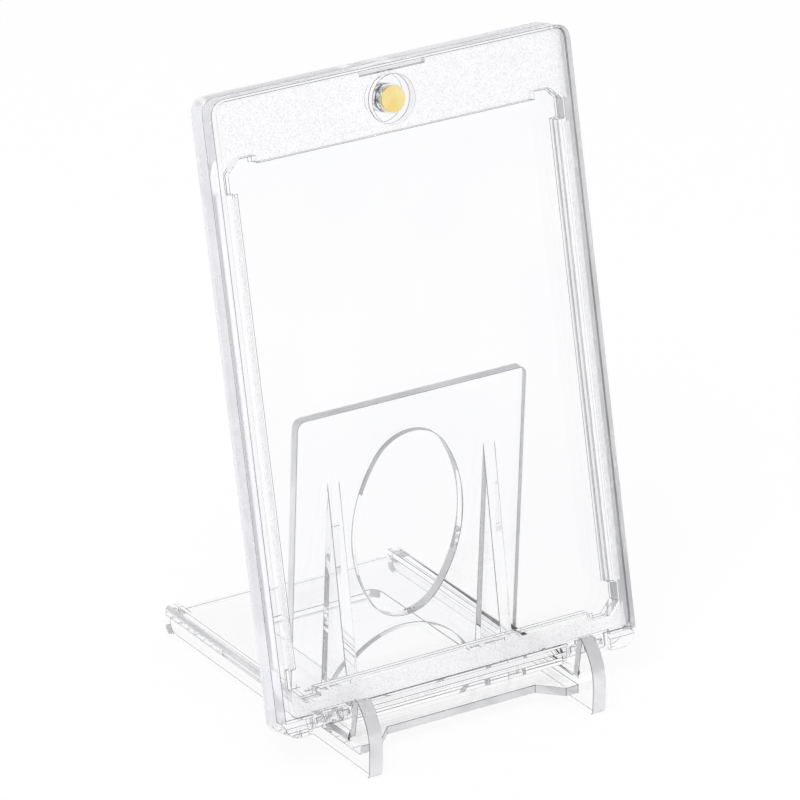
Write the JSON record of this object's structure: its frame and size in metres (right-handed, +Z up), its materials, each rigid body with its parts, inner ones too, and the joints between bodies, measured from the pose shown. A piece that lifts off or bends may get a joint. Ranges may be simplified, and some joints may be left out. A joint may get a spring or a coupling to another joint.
{
  "type": "trading card display case",
  "caption": "Clear magnetic card case with a hinged lid and a frosted border, leaning in a one-piece clear stand with hooks and an oval hole.",
  "frame": {"origin": "on the ground under the middle of the bounding box of case and stand", "axes": "+Z up; the lid faces -Y; +X is to the right as one looks at the lid"},
  "size_m": [0.0746, 0.069, 0.1185],
  "materials": {
    "clear_stand": "clear moulded plastic, glossy",
    "clear_shell": "clear moulded plastic, finely frosted round a glossy window",
    "magnet_steel": "bright nickel plating",
    "cap_gold": "gold-coloured, satin"
  },
  "bodies": {
    "stand_body": {"stand": "clear_stand"},
    "case_body": {"back_shell": "clear_shell", "back_magnet": "magnet_steel"},
    "lid_body": {"front_shell": "clear_shell", "lid_magnet": "magnet_steel", "magnet_cap": "cap_gold"}
  },
  "joints": [
    {"name": "case_lift", "type": "slide", "parent": "stand_body", "child": "case_body", "axis": [0, 0.2351, 0.972], "range_m": [0, 0.06]},
    {"name": "lid_hinge", "type": "hinge", "parent": "case_body", "child": "lid_body", "pos_m": [0, -0.02461, 0.00874], "axis": [1, 0, 0], "range_deg": [0, 35]}
  ]
}
